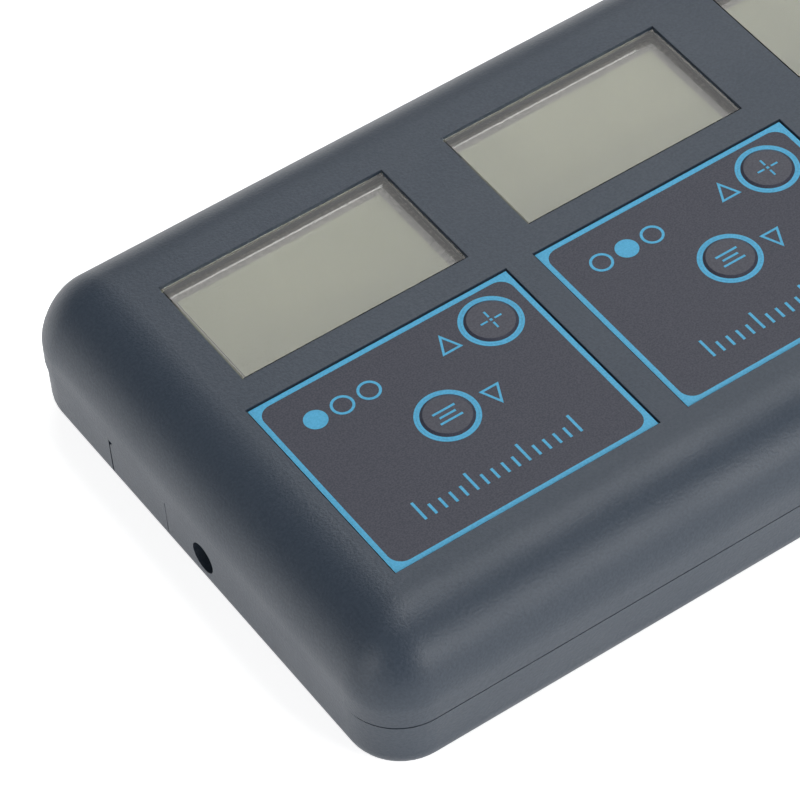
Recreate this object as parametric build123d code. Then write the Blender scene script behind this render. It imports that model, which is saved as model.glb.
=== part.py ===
from build123d import *
import math
import os

# Water quality monitor: a flat two-part plastic case with three equal display modules.
# Millimetres. The origin is the middle of the flat underside, +Z is up, +X runs along the
# row of displays and +Y points to the long side behind the displays. Cuts run past the faces
# that they open by OVER.
OVER = 1.0

# Module layout on the case face
MODULE_COUNT = 3
LABEL_MARGIN = 3.2
LABEL_SPACING = 6.0
LABEL_DEPTH = 42.5
WINDOW_WIDTH = 45.6
WINDOW_DEPTH = 25.8
WINDOW_GAP = 6.2
SIDE_MARGIN = 15.2
FRONT_MARGIN = 16.9
BACK_MARGIN = 17.6

# Case
PARTING_Z = 11.5
WALL = 2.2
CORNER_R = 10.5
UPRIGHT_RIM = 3.9
BASE_R = 3.8
BASE_STEP = 0.25
BASE_DRAFT = 1.2
LIP_HEIGHT = 1.5
LIP_WALL = 1.1
LIP_CLEARANCE = 0.1
EDGE_BREAK = 0.3
PARTING_GROOVE_WIDTH = 0.3
PARTING_GROOVE_DEPTH = 0.5
RIB_T = 1.5
RIB_DEPTH = 4.0

# Labels and keys
LABEL_T = 0.4
LABEL_SINK = 0.4
LABEL_CLEARANCE = 0.3
KEY_D = 10.2
KEY_DOME_D = 9.3
KEY_DOME_RISE = 0.35
KEY_DOME_SLOPE_T = 0.3
KEY_DOME_SLOPE_W = 0.5
KEY_CLEARANCE = 0.1
KEY_TRAVEL = 0.5
CAL_KEY_FROM_LABEL_END = 8.5
CAL_KEY_FROM_LABEL_BACK = 7.7
MODE_KEY_OFF_MIDDLE = -0.3
MODE_KEY_FROM_LABEL_BACK = 20.4

# Display stack
WINDOW_SINK = 0.3
WINDOW_CLEARANCE = 0.15
WINDOW_FLANGE = 1.8
WINDOW_FLANGE_T = 1.2
WINDOW_BEVEL = 0.25
DISPLAY_AIR_GAP = 1.2
GLASS_MARGIN_X = 1.7
GLASS_MARGIN_Y = 2.1
GLASS_T = 1.1
GLASS_LEDGE = 3.0
POLARISER_T = 0.2
POLARISER_INSET_X = 2.05
POLARISER_INSET_Y = 2.1
CELL_STANDOFF = 3.2
BEZEL_WALL = 1.5
BEZEL_LIP_MARGIN = 0.5
CELL_CLEARANCE = 0.15
CONNECTOR_T = 1.8
CONNECTOR_INSET = 3.5

# Circuit boards and switches
BOARD_T = 1.6
BOARD_RISE = 1.95
BOARD_SPACING = 5.0
BOARD_FRONT_MARGIN = 15.0
BOARD_BACK_MARGIN = 8.5
BOARD_SCREW_INSET_X = 6.5
BOARD_SCREW_INSET_Y = 2.4
BOARD_SCREW_R = 1.0
BOARD_SCREW_HEAD_R = 2.0
BOARD_SCREW_HEAD_T = 1.5
BOARD_SCREW_LENGTH = 7.0
BOARD_BOSS_R = 2.6
BOARD_NOTCH_CLEARANCE = 0.5
SWITCH_SIDE = 6.0
SWITCH_HEIGHT = 3.5
STEM_R = 1.7
STEM_DEPTH_IN_SWITCH = 1.5
LEG_SPACING = 4.5
LEG_WIDTH = 0.7
LEG_T = 0.3
LEG_REACH = 1.0
CHIP_SIDE = 10.0
CHIP_T = 1.6

# Case screws
CASE_SCREW_INSET = 9.6
CASE_SCREW_R = 1.45
CASE_SCREW_HEAD_R = 2.8
CASE_SCREW_HEAD_T = 2.0
CASE_SCREW_LENGTH = 13.0
COUNTERBORE_R = 3.2
COUNTERBORE_DEPTH = 5.0
COLUMN_WALL = 1.4
CASE_BOSS_R = 3.5
SCREW_CLEARANCE = 0.15
CROSS_SLOT_WIDTH = 0.8
CROSS_SLOT_SPAN = 1.2

# Battery bay for two slim round cells in line, and its sliding cover
CELL_D = 10.5
CELL_LENGTH = 44.5
CELL_NUB_D = 3.8
CELL_NUB_LENGTH = 0.8
CELL_COUNT = 2
CELL_BAY_CLEARANCE = 0.75
CONTACT_T = 0.4
CONTACT_WIDTH = 7.0
SPRING_LENGTH = 4.4
BAY_WALL = 1.5
BAY_ROOF_GAP = 0.35
COVER_Y = 18.3
COVER_WIDTH = 17.2
COVER_WALL = 2.0
COVER_PLATE_T = 1.8
COVER_RISE = 0.2
COVER_CLEARANCE = 0.15
COVER_OVERLAP = 1.2
COVER_TRAVEL = 8.0
COVER_NOTCH = 1.9
COVER_SEAM = 0.2
TONGUE_COUNT = 3
TONGUE_LENGTH = 7.5
TONGUE_T = 0.9
TONGUE_REACH = 1.2
SHELF_T = 1.5
SHELF_MARGIN = 1.3
GRIP_RIDGES = 5
GRIP_PITCH = 2.0
GRIP_WIDTH = 0.9
GRIP_DEPTH = 0.4

# Power inlet in the left end wall
JACK_Y = -1.5
JACK_Z = 7.55
JACK_HOLE_R = 2.95
JACK_PIN_R = 1.0
JACK_BODY_SIDE = 9.0
JACK_BODY_LENGTH = 14.0
JACK_BORE_DEPTH = 9.5
JACK_PIN_SETBACK = 1.2
JACK_SETBACK = 0.5

# Probe sockets in the right end wall
SOCKET_YS = (24.0, 0.0)
SOCKET_THREAD_R = 4.75
SOCKET_HOLE_CLEARANCE = 0.15
SOCKET_HEX = 14.0
SOCKET_FLANGE_T = 2.4
SOCKET_BARREL_R = 4.8
SOCKET_REACH = 14.0
SOCKET_MOUTH_R = 4.05
SOCKET_MOUTH_DEPTH = 8.5
SOCKET_LUG_R = 1.0
SOCKET_LUG_RISE = 0.7
SOCKET_LUG_FROM_MOUTH = 4.6
SOCKET_REAR_LENGTH = 11.0
INSULATOR_R = 2.45
INSULATOR_SETBACK = 2.0
CONTACT_TUBE_R = 1.05
CONTACT_BORE_R = 0.68
SOLDER_PIN_LENGTH = 3.0
WASHER_R = 6.8
WASHER_T = 0.6
NUT_T = 2.2
PAD_DEPTH = 0.8
PAD_HALF_WIDTH = 9.0

# Temperature probe jack in the right end wall
PHONO_Y = -22.0
PHONO_BORE_R = 1.8
PHONO_BORE_DEPTH = 14.0
PHONO_BUSH_R = 2.95
PHONO_BUSH_REACH = 2.8
PHONO_NUT_R = 4.1
PHONO_NUT_T = 2.0
PHONO_BODY_SIDE = 8.0
PHONO_BODY_LENGTH = 12.5

# Flat leads from the sockets and the inlet to the boards
LEAD_T = 1.0
LEAD_WIDTH = 2.4
LEAD_BEND_R = 1.8
LEAD_RUN = 6.5

# Keyholes for hanging the monitor on two wall screws
KEYHOLE_X = 60.0
KEYHOLE_Y = 34.5
KEYHOLE_ENTRY_R = 4.2
KEYHOLE_SLOT_R = 2.1
KEYHOLE_DROP = 7.0
KEYHOLE_ROOM = 3.5
KEYHOLE_BOX_WALL = 1.3

# Positions that follow from the dimensions
LABEL_WIDTH = WINDOW_WIDTH + 2 * LABEL_MARGIN
MODULE_PITCH = LABEL_WIDTH + LABEL_SPACING
LENGTH = (MODULE_COUNT - 1) * MODULE_PITCH + LABEL_WIDTH + 2 * SIDE_MARGIN
WIDTH = FRONT_MARGIN + LABEL_DEPTH + WINDOW_GAP + WINDOW_DEPTH + BACK_MARGIN
MODULE_XS = [(i - (MODULE_COUNT - 1) / 2) * MODULE_PITCH for i in range(MODULE_COUNT)]
LABEL_BACK_Y = FRONT_MARGIN + LABEL_DEPTH - WIDTH / 2
LABEL_Y = LABEL_BACK_Y - LABEL_DEPTH / 2
WINDOW_Y = LABEL_BACK_Y + WINDOW_GAP + WINDOW_DEPTH / 2
CAL_KEY = (LABEL_WIDTH / 2 - CAL_KEY_FROM_LABEL_END, LABEL_BACK_Y - CAL_KEY_FROM_LABEL_BACK)
MODE_KEY = (MODE_KEY_OFF_MIDDLE, LABEL_BACK_Y - MODE_KEY_FROM_LABEL_BACK)
COVER_TOP_Z = COVER_RISE + COVER_PLATE_T
SHELF_Z = COVER_TOP_Z + COVER_CLEARANCE
CELL_Z = SHELF_Z + CELL_D / 2 + COVER_CLEARANCE
BAY_ROOF_Z = CELL_Z + CELL_D / 2 + BAY_ROOF_GAP
BOARD_Z = BAY_ROOF_Z + BAY_WALL + BOARD_RISE
BOARD_TOP_Z = BOARD_Z + BOARD_T
REAR_GLASS_Z = BOARD_TOP_Z + CELL_STANDOFF
FRONT_GLASS_Z = REAR_GLASS_Z + GLASS_T
CELL_TOP_Z = FRONT_GLASS_Z + GLASS_T + POLARISER_T
PANE_LOW_Z = CELL_TOP_Z + DISPLAY_AIR_GAP
ROOF_Z = PANE_LOW_Z + WINDOW_FLANGE_T
HEIGHT = ROOF_Z + WALL
SHOULDER_R = HEIGHT - PARTING_Z - UPRIGHT_RIM
LABEL_TOP_Z = HEIGHT - LABEL_SINK
POCKET_Z = LABEL_TOP_Z - LABEL_T
PANE_TOP_Z = HEIGHT - WINDOW_SINK
GLASS_WIDTH = WINDOW_WIDTH + 2 * GLASS_MARGIN_X
GLASS_DEPTH = WINDOW_DEPTH + 2 * GLASS_MARGIN_Y
POLARISER_WIDTH = WINDOW_WIDTH - 2 * POLARISER_INSET_X
POLARISER_DEPTH = WINDOW_DEPTH - 2 * POLARISER_INSET_Y
CONNECTOR_LENGTH = GLASS_WIDTH - 2 * CONNECTOR_INSET
BOARD_WIDTH = MODULE_PITCH - BOARD_SPACING
BOARD_FRONT_Y = BOARD_FRONT_MARGIN - WIDTH / 2
BOARD_BACK_Y = WIDTH / 2 - BOARD_BACK_MARGIN
KEY_HOLE_R = KEY_D / 2 + 3 * KEY_CLEARANCE
SWITCH_TOP_Z = BOARD_TOP_Z + SWITCH_HEIGHT
STEM_LOW_Z = SWITCH_TOP_Z - STEM_DEPTH_IN_SWITCH
INNER_HALF_LENGTH = LENGTH / 2 - BASE_STEP - WALL
CASE_SCREW_Y = WIDTH / 2 - CASE_SCREW_INSET
CASE_SCREW_X = LENGTH / 2 - CASE_SCREW_INSET
CASE_SCREWS = [(ix * CASE_SCREW_X, iy * CASE_SCREW_Y) for ix in (-1, 0, 1) for iy in (-1, 1)]
BAY_LENGTH = CELL_COUNT * CELL_LENGTH + 2 * CONTACT_T + SPRING_LENGTH
BAY_X0 = BASE_STEP + COVER_WALL + COVER_CLEARANCE + BAY_WALL - LENGTH / 2
BAY_X1 = BAY_X0 + BAY_LENGTH
BAY_HALF = CELL_D / 2 + CELL_BAY_CLEARANCE
COVER_END_X = BAY_X1 + COVER_OVERLAP
SOCKET_SEAT_X = INNER_HALF_LENGTH - PAD_DEPTH
END_FACE_X = LENGTH / 2


def block(x0, x1, y0, y1, z0, z1):
    """Box between two opposite corners."""
    return Pos((x0 + x1) / 2, (y0 + y1) / 2, (z0 + z1) / 2) * Box(x1 - x0, y1 - y0, z1 - z0)


def slab(x, y, width, depth, z0, z1):
    """Box centred on a point of the plan, between two heights."""
    return Pos(x, y, (z0 + z1) / 2) * Box(width, depth, z1 - z0)


def post(radius, z0, z1):
    """Upright cylinder on the Z axis between two heights."""
    return Pos(0, 0, (z0 + z1) / 2) * Cylinder(radius, z1 - z0)


def bar(radius, x0, x1, y, z):
    """Cylinder along X between two stations."""
    return Pos((x0 + x1) / 2, y, z) * Rot(0, 90, 0) * Cylinder(radius, x1 - x0)


def bolt_hex(across_flats, x0, x1, y, z):
    """Hexagonal prism along X."""
    profile = RegularPolygon(across_flats / 2, 6, major_radius=False)
    return Pos(x0, y, z) * Rot(0, 90, 0) * extrude(profile, amount=x1 - x0)


def shoulder_section(half, low, high, edge_r):
    """Cross-section of the upper case half: upright sides and rounded top edges."""
    face = Pos(0, (low + high) / 2) * Rectangle(2 * half, high - low)
    return fillet(face.vertices().group_by(Axis.Y)[-1], edge_r)


def shoulder_form(inset, low, high):
    """Block of the upper case half's form, drawn in from the outer face by an inset.

    The long and the short section cross and leave a sharp edge at each corner, upright below and
    curved over the shoulder. One rolled fillet along the whole of it makes the corner.
    """
    length = LENGTH - 2 * inset
    width = WIDTH - 2 * inset
    along = shoulder_section(length / 2, low, high, SHOULDER_R - inset)
    across = shoulder_section(width / 2, low, high, SHOULDER_R - inset)
    form = extrude(Plane.YZ * across, amount=length / 2, both=True)
    form &= extrude(Plane.XZ * along, amount=width / 2, both=True)
    upright = form.edges().filter_by(Axis.Z)
    curved = form.edges().filter_by(GeomType.ELLIPSE)
    return fillet(upright + curved, CORNER_R - inset)


def drafted_block(inset, low, high):
    """Block of the case outline whose sides draw in towards its underside."""
    outline = RectangleRounded(LENGTH - 2 * inset, WIDTH - 2 * inset, CORNER_R - inset)
    return extrude(Pos(0, 0, high) * outline, amount=high - low, dir=(0, 0, -1), taper=BASE_DRAFT)


def tray_form():
    """Outer form of the lower case half: drafted sides and a rounded bottom rim."""
    form = drafted_block(BASE_STEP, 0, PARTING_Z)
    return fillet(form.faces().sort_by(Axis.Z)[0].edges(), BASE_R)


def rounded_prism(inset, z0, z1):
    """Upright prism of the case outline, drawn in from the outer wall by an inset."""
    outline = RectangleRounded(LENGTH - 2 * inset, WIDTH - 2 * inset, CORNER_R - inset)
    return extrude(Pos(0, 0, z0) * outline, amount=z1 - z0)


def socket_holes():
    """Round holes through the right end wall for the two probe sockets and the probe jack."""
    radius = SOCKET_THREAD_R + SOCKET_HOLE_CLEARANCE
    x0 = SOCKET_SEAT_X - OVER
    x1 = END_FACE_X + OVER
    holes = [bar(radius, x0, x1, y, PARTING_Z) for y in SOCKET_YS]
    radius = PHONO_BUSH_R + SOCKET_HOLE_CLEARANCE
    holes.append(bar(radius, x0, x1, PHONO_Y, PARTING_Z))
    return holes


def socket_pad(y, z0, z1):
    """Flat pad on the inside of the right end wall that a socket's nut pulls against."""
    wall_middle = END_FACE_X - BASE_STEP - WALL / 2
    return block(SOCKET_SEAT_X, wall_middle, y - PAD_HALF_WIDTH, y + PAD_HALF_WIDTH, z0, z1)


def board_screw_places():
    """Screw places of one circuit board, relative to its module's middle."""
    x = BOARD_WIDTH / 2 - BOARD_SCREW_INSET_X
    front = BOARD_FRONT_Y + BOARD_SCREW_INSET_Y
    back = BOARD_BACK_Y - BOARD_SCREW_INSET_Y
    return [(sx * x, y) for sx in (-1, 1) for y in (front, back)]


def window_frame(x):
    """Rib that locates the window pane's flange under the roof."""
    inner_w = WINDOW_WIDTH + 2 * (WINDOW_FLANGE + WINDOW_CLEARANCE)
    inner_d = WINDOW_DEPTH + 2 * (WINDOW_FLANGE + WINDOW_CLEARANCE)
    ring = Rectangle(inner_w + 2 * RIB_T, inner_d + 2 * RIB_T) - Rectangle(inner_w, inner_d)
    height = WINDOW_FLANGE_T - CELL_CLEARANCE
    return extrude(Pos(x, WINDOW_Y, ROOF_Z - height) * ring, amount=height + WALL / 2)


def top_housing():
    """Upper case half: a shell with broad shoulders, window openings, label pockets and bosses."""
    shell = shoulder_form(0, PARTING_Z, HEIGHT)
    shell = chamfer(shell.faces().sort_by(Axis.Z)[0].edges(), EDGE_BREAK)
    shell -= shoulder_form(WALL, PARTING_Z - OVER, ROOF_Z)
    shell -= rounded_prism(WALL - LIP_WALL, PARTING_Z - OVER, PARTING_Z + LIP_HEIGHT + LIP_CLEARANCE)
    inside = [window_frame(x) for x in MODULE_XS]
    board_boss = post(BOARD_BOSS_R, BOARD_TOP_Z, ROOF_Z + WALL / 4)
    inside += [Pos(m + x, y, 0) * board_boss for m in MODULE_XS for x, y in board_screw_places()]
    rib_length = WIDTH - 2 * SHOULDER_R
    for x in MODULE_XS[1:]:
        rib_x = x - MODULE_PITCH / 2
        inside.append(slab(rib_x, 0, RIB_T, rib_length, ROOF_Z - RIB_DEPTH, ROOF_Z + WALL / 2))
    form_inside = shoulder_form(WALL / 2, PARTING_Z - OVER, HEIGHT - WALL / 2)
    case_boss = post(CASE_BOSS_R, PARTING_Z, HEIGHT)
    bosses = [Pos(x, y, 0) * case_boss & form_inside for x, y in CASE_SCREWS]
    pad_z0 = PARTING_Z + LIP_HEIGHT + LIP_CLEARANCE
    pad_z1 = PARTING_Z + PAD_HALF_WIDTH
    pads = [socket_pad(y, pad_z0, pad_z1) & form_inside for y in SOCKET_YS + (PHONO_Y,)]
    shell += inside + bosses + pads
    cuts = socket_holes()
    top = HEIGHT + OVER
    pocket_w = LABEL_WIDTH + 2 * LABEL_CLEARANCE
    pocket_d = LABEL_DEPTH + 2 * LABEL_CLEARANCE
    screw_top = BOARD_Z + BOARD_SCREW_LENGTH
    pilot = post(BOARD_SCREW_R + SCREW_CLEARANCE / 2, BOARD_TOP_Z - OVER, screw_top + OVER)
    for x in MODULE_XS:
        cuts.append(slab(x, WINDOW_Y, WINDOW_WIDTH, WINDOW_DEPTH, ROOF_Z - OVER, top))
        cuts.append(slab(x, LABEL_Y, pocket_w, pocket_d, POCKET_Z, top))
        for key_x, key_y in (CAL_KEY, MODE_KEY):
            cuts.append(Pos(x + key_x, key_y, 0) * post(KEY_HOLE_R, ROOF_Z - OVER, POCKET_Z + OVER))
        cuts += [Pos(x + bx, by, 0) * pilot for bx, by in board_screw_places()]
    screw_top = COUNTERBORE_DEPTH + CASE_SCREW_LENGTH
    pilot = post(CASE_SCREW_R + SCREW_CLEARANCE / 2, PARTING_Z - OVER, screw_top + OVER)
    cuts += [Pos(x, y, 0) * pilot for x, y in CASE_SCREWS]
    return shell - cuts


def tongue_starts():
    """Left ends of the cover's tongues, evenly spaced along the bay."""
    first = BAY_X0 + COVER_TRAVEL + TONGUE_LENGTH
    last = COVER_END_X - 2 * TONGUE_LENGTH
    step = (last - first) / (TONGUE_COUNT - 1)
    return [first + i * step for i in range(TONGUE_COUNT)]


def bay_solids():
    """Raised box over the battery bay and the thick shelf that the cover slides under."""
    half = COVER_WIDTH / 2 + TONGUE_REACH + COVER_CLEARANCE + SHELF_MARGIN
    x0 = BAY_X0 - BAY_WALL
    x1 = COVER_END_X + 2 * BAY_WALL
    shelf = block(x0, x1, COVER_Y - half, COVER_Y + half, WALL / 2, SHELF_Z + SHELF_T)
    half = BAY_HALF + BAY_WALL
    x1 = BAY_X1 + BAY_WALL
    box = block(x0, x1, COVER_Y - half, COVER_Y + half, SHELF_Z, BAY_ROOF_Z + BAY_WALL)
    return [shelf, box]


def bay_cuts():
    """Room for the cells, the cover, its end wall, its tongues and the gaps they drop out of."""
    y0 = COVER_Y - COVER_WIDTH / 2 - COVER_CLEARANCE
    y1 = COVER_Y + COVER_WIDTH / 2 + COVER_CLEARANCE
    left = -END_FACE_X - OVER
    cuts = [
        block(BAY_X0, BAY_X1, COVER_Y - BAY_HALF, COVER_Y + BAY_HALF, -OVER, BAY_ROOF_Z),
        block(left, COVER_END_X + COVER_CLEARANCE, y0, y1, -OVER, SHELF_Z),
        block(left, BAY_X0 - BAY_WALL, y0, y1, -OVER, PARTING_Z),
    ]
    reach = COVER_WIDTH / 2 + TONGUE_REACH + COVER_CLEARANCE
    groove_z = COVER_TOP_Z - TONGUE_T - COVER_CLEARANCE
    for x in tongue_starts():
        x0 = x - COVER_TRAVEL - COVER_CLEARANCE
        x1 = x + TONGUE_LENGTH + COVER_CLEARANCE
        cuts.append(block(x0, x1, COVER_Y - reach, COVER_Y + reach, groove_z, SHELF_Z))
        cuts.append(block(x0, x - COVER_CLEARANCE, COVER_Y - reach, COVER_Y + reach, -OVER, SHELF_Z))
    return cuts


def keyhole_box(x):
    """Closed box on the floor that keeps a wall screw's head away from the electronics."""
    half = KEYHOLE_ENTRY_R + KEYHOLE_BOX_WALL
    top = WALL + KEYHOLE_ROOM + KEYHOLE_BOX_WALL
    return block(x - half, x + half, KEYHOLE_Y - half, KEYHOLE_Y + KEYHOLE_DROP + half, WALL / 2, top)


def keyhole_cuts(x):
    """Entry hole and slot through the floor, and the room for the screw's head above them."""
    y1 = KEYHOLE_Y + KEYHOLE_DROP
    entry = Pos(x, KEYHOLE_Y, 0) * post(KEYHOLE_ENTRY_R, -OVER, WALL + OVER)
    slot = Pos(x, y1, 0) * post(KEYHOLE_SLOT_R, -OVER, WALL + OVER)
    slot += block(x - KEYHOLE_SLOT_R, x + KEYHOLE_SLOT_R, KEYHOLE_Y, y1, -OVER, WALL + OVER)
    half = KEYHOLE_ENTRY_R
    room = block(x - half, x + half, KEYHOLE_Y - half, y1 + half, WALL, WALL + KEYHOLE_ROOM)
    return [entry, slot, room]


def bottom_housing():
    """Lower case half: a tray with a lip, screw columns, battery bay, inlet cradle and keyholes."""
    inset = BASE_STEP + WALL
    tray = tray_form()
    cavity = drafted_block(inset, WALL, PARTING_Z + OVER)
    groove_z = PARTING_Z - PARTING_GROOVE_WIDTH
    groove = slab(0, 0, LENGTH + OVER, WIDTH + OVER, groove_z, PARTING_Z)
    groove -= rounded_prism(BASE_STEP + PARTING_GROOVE_DEPTH, groove_z, PARTING_Z)
    tray -= groove
    solids = bay_solids() + [keyhole_box(x) for x in (-KEYHOLE_X, KEYHOLE_X)]
    lip_top = PARTING_Z + LIP_HEIGHT
    lip = rounded_prism(WALL - LIP_WALL + LIP_CLEARANCE, PARTING_Z - WALL / 2, lip_top)
    solids.append(lip - rounded_prism(inset, PARTING_Z - WALL / 2, lip_top))
    column = post(COUNTERBORE_R + COLUMN_WALL, WALL / 2, PARTING_Z)
    solids += [Pos(x, y, 0) * column for x, y in CASE_SCREWS]
    solids += [socket_pad(y, WALL / 2, lip_top) for y in SOCKET_YS + (PHONO_Y,)]
    half = JACK_BODY_SIDE / 2
    jack_x1 = JACK_BODY_LENGTH - INNER_HALF_LENGTH
    cradle = block(-INNER_HALF_LENGTH, jack_x1, JACK_Y - half, JACK_Y + half, WALL / 2, JACK_Z - half)
    stop = block(jack_x1, jack_x1 + RIB_T, JACK_Y - half, JACK_Y + half, WALL / 2, JACK_Z)
    solids += [cradle, stop]
    cuts = bay_cuts() + socket_holes()
    for x in (-KEYHOLE_X, KEYHOLE_X):
        cuts += keyhole_cuts(x)
    cuts.append(bar(JACK_HOLE_R, -END_FACE_X - OVER, OVER - INNER_HALF_LENGTH, JACK_Y, JACK_Z))
    for x, y in CASE_SCREWS:
        cuts.append(Pos(x, y, 0) * post(COUNTERBORE_R, -OVER, COUNTERBORE_DEPTH))
        cuts.append(Pos(x, y, 0) * post(CASE_SCREW_R + 2 * SCREW_CLEARANCE, 0, PARTING_Z + OVER))
    return (tray - cavity + solids) - cuts


def battery_cover():
    """Sliding cover: a floor plate with tongues and the piece of end wall that belongs to it."""
    y0 = COVER_Y - COVER_WIDTH / 2
    y1 = COVER_Y + COVER_WIDTH / 2
    left = -END_FACE_X - OVER
    wall_x1 = BASE_STEP + COVER_WALL - END_FACE_X
    wall_top = PARTING_Z - COVER_CLEARANCE
    plate = block(left, COVER_END_X, y0, y1, COVER_RISE, COVER_TOP_Z)
    end_wall = block(left, wall_x1, y0, y1 - COVER_SEAM, COVER_RISE, wall_top)
    cover = tray_form() & (plate + end_wall)
    tongue_z = COVER_TOP_Z - TONGUE_T
    for x in tongue_starts():
        reach = TONGUE_REACH
        cover += block(x, x + TONGUE_LENGTH, y0 - reach, y1 + reach, tongue_z, COVER_TOP_Z)
    notch = Pos(wall_x1, y1, wall_top) * Rot(45, 0, 0)
    cover -= notch * Box(4 * COVER_WALL, COVER_NOTCH, COVER_NOTCH)
    for i in range(GRIP_RIDGES):
        x = BAY_X0 + BASE_R + i * GRIP_PITCH
        cover -= slab(x, COVER_Y, GRIP_WIDTH, COVER_WIDTH / 2, 0, COVER_RISE + GRIP_DEPTH)
    return cover


def display_window(x):
    """Clear pane with a raised centre that fills the opening from below."""
    gap = 2 * WINDOW_CLEARANCE
    centre = slab(x, WINDOW_Y, WINDOW_WIDTH - gap, WINDOW_DEPTH - gap, ROOF_Z, PANE_TOP_Z)
    centre = chamfer(centre.faces().sort_by(Axis.Z)[-1].edges(), WINDOW_BEVEL)
    rim = 2 * WINDOW_FLANGE
    return centre + slab(x, WINDOW_Y, WINDOW_WIDTH + rim, WINDOW_DEPTH + rim, PANE_LOW_Z, ROOF_Z)


def lcd_cell(x):
    """Glass display cell: two glass plates, the front one longer for its contacts, and polarisers."""
    glass_top = FRONT_GLASS_Z + GLASS_T
    rear_y = WINDOW_Y - GLASS_LEDGE / 2
    cell = slab(x, WINDOW_Y, GLASS_WIDTH, GLASS_DEPTH, FRONT_GLASS_Z, glass_top)
    cell += slab(x, rear_y, GLASS_WIDTH, GLASS_DEPTH - GLASS_LEDGE, REAR_GLASS_Z, FRONT_GLASS_Z)
    for z in (glass_top, REAR_GLASS_Z - POLARISER_T):
        cell += slab(x, WINDOW_Y, POLARISER_WIDTH, POLARISER_DEPTH, z, z + POLARISER_T)
    return cell


def lcd_bezel(x):
    """Frame on the circuit board that holds the display cell down at its rim."""
    width = GLASS_WIDTH + 2 * CELL_CLEARANCE
    depth = GLASS_DEPTH + 2 * CELL_CLEARANCE
    wall = 2 * BEZEL_WALL
    bezel = slab(x, WINDOW_Y, width + wall, depth + wall, BOARD_TOP_Z, PANE_LOW_Z)
    glass_top = FRONT_GLASS_Z + GLASS_T
    bezel -= slab(x, WINDOW_Y, width, depth, BOARD_TOP_Z - OVER, glass_top)
    mouth_w = WINDOW_WIDTH + 2 * BEZEL_LIP_MARGIN
    mouth_d = WINDOW_DEPTH + 2 * BEZEL_LIP_MARGIN
    bezel -= slab(x, WINDOW_Y, mouth_w, mouth_d, glass_top - OVER, PANE_LOW_Z + OVER)
    ledge_x0 = POLARISER_WIDTH / 2 + CELL_CLEARANCE
    ledge_x1 = width / 2
    ledge_y0 = WINDOW_Y - depth / 2
    ledge_y1 = WINDOW_Y + GLASS_DEPTH / 2 - GLASS_LEDGE
    bezel += block(x - ledge_x1, x - ledge_x0, ledge_y0, ledge_y1, BOARD_TOP_Z, REAR_GLASS_Z)
    bezel += block(x + ledge_x0, x + ledge_x1, ledge_y0, ledge_y1, BOARD_TOP_Z, REAR_GLASS_Z)
    return bezel


def lcd_connector(x):
    """Elastomer strip between the contact ledge of the display cell and the board."""
    y = WINDOW_Y + GLASS_DEPTH / 2 - GLASS_LEDGE / 2
    return slab(x, y, CONNECTOR_LENGTH, CONNECTOR_T, BOARD_TOP_Z, FRONT_GLASS_Z)


def control_label(x):
    """Printed label sheet in its pocket, with a round opening for each key."""
    sheet = slab(x, LABEL_Y, LABEL_WIDTH, LABEL_DEPTH, POCKET_Z, LABEL_TOP_Z)
    for key_x, key_y in (CAL_KEY, MODE_KEY):
        sheet -= Pos(x + key_x, key_y, 0) * post(KEY_D / 2 + KEY_CLEARANCE, POCKET_Z - OVER, HEIGHT)
    return sheet


def key_cap(x, y):
    """Embossed round key: a disc as thick as the label with a raised centre."""
    dome = post(KEY_DOME_D / 2, POCKET_Z, LABEL_TOP_Z + KEY_DOME_RISE)
    rim = dome.edges().filter_by(GeomType.CIRCLE).sort_by(Axis.Z)[-1]
    dome = chamfer(rim, KEY_DOME_SLOPE_T, KEY_DOME_SLOPE_W)
    return Pos(x, y, 0) * (dome + post(KEY_D / 2, POCKET_Z, LABEL_TOP_Z))


def key_stem(x, y):
    """Switch stem that reaches from inside the switch up to the key."""
    return Pos(x, y, 0) * post(STEM_R, STEM_LOW_Z, POCKET_Z)


def key_switch(x, y):
    """Push-button switch body on the board, with a well for its stem and four legs."""
    body = slab(0, 0, SWITCH_SIDE, SWITCH_SIDE, BOARD_TOP_Z, SWITCH_TOP_Z)
    body = chamfer(body.edges().filter_by(Axis.Z), SWITCH_SIDE / 12)
    well_z = STEM_LOW_Z - KEY_TRAVEL - KEY_CLEARANCE
    body -= post(STEM_R + KEY_CLEARANCE, well_z, SWITCH_TOP_Z + OVER)
    span = SWITCH_SIDE + 2 * LEG_REACH
    for leg_y in (-LEG_SPACING / 2, LEG_SPACING / 2):
        body += slab(0, leg_y, span, LEG_WIDTH, BOARD_TOP_Z, BOARD_TOP_Z + LEG_T)
    return Pos(x, y, 0) * body


def circuit_board(x):
    """One module's board, with screw holes and a notch that clears a case boss."""
    half = BOARD_WIDTH / 2
    board = block(-half, half, BOARD_FRONT_Y, BOARD_BACK_Y, BOARD_Z, BOARD_TOP_Z)
    z0 = BOARD_Z - OVER
    z1 = BOARD_TOP_Z + OVER
    notch_r = CASE_BOSS_R + BOARD_NOTCH_CLEARANCE
    board -= Pos(0, CASE_SCREW_Y, 0) * post(notch_r, z0, z1)
    board -= block(-notch_r, notch_r, CASE_SCREW_Y, BOARD_BACK_Y + OVER, z0, z1)
    for bx, by in board_screw_places():
        board -= Pos(bx, by, 0) * post(BOARD_SCREW_R + 2 * SCREW_CLEARANCE, z0, z1)
    return Pos(x, 0, 0) * board


def processor_chip(x):
    """Flat chip package on a board, in front of the switches."""
    y = (BOARD_FRONT_Y + MODE_KEY[1]) / 2
    chip = slab(x, y, CHIP_SIDE, CHIP_SIDE, BOARD_TOP_Z, BOARD_TOP_Z + CHIP_T)
    return chamfer(chip.faces().sort_by(Axis.Z)[-1].edges(), CHIP_T / 4)


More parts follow.
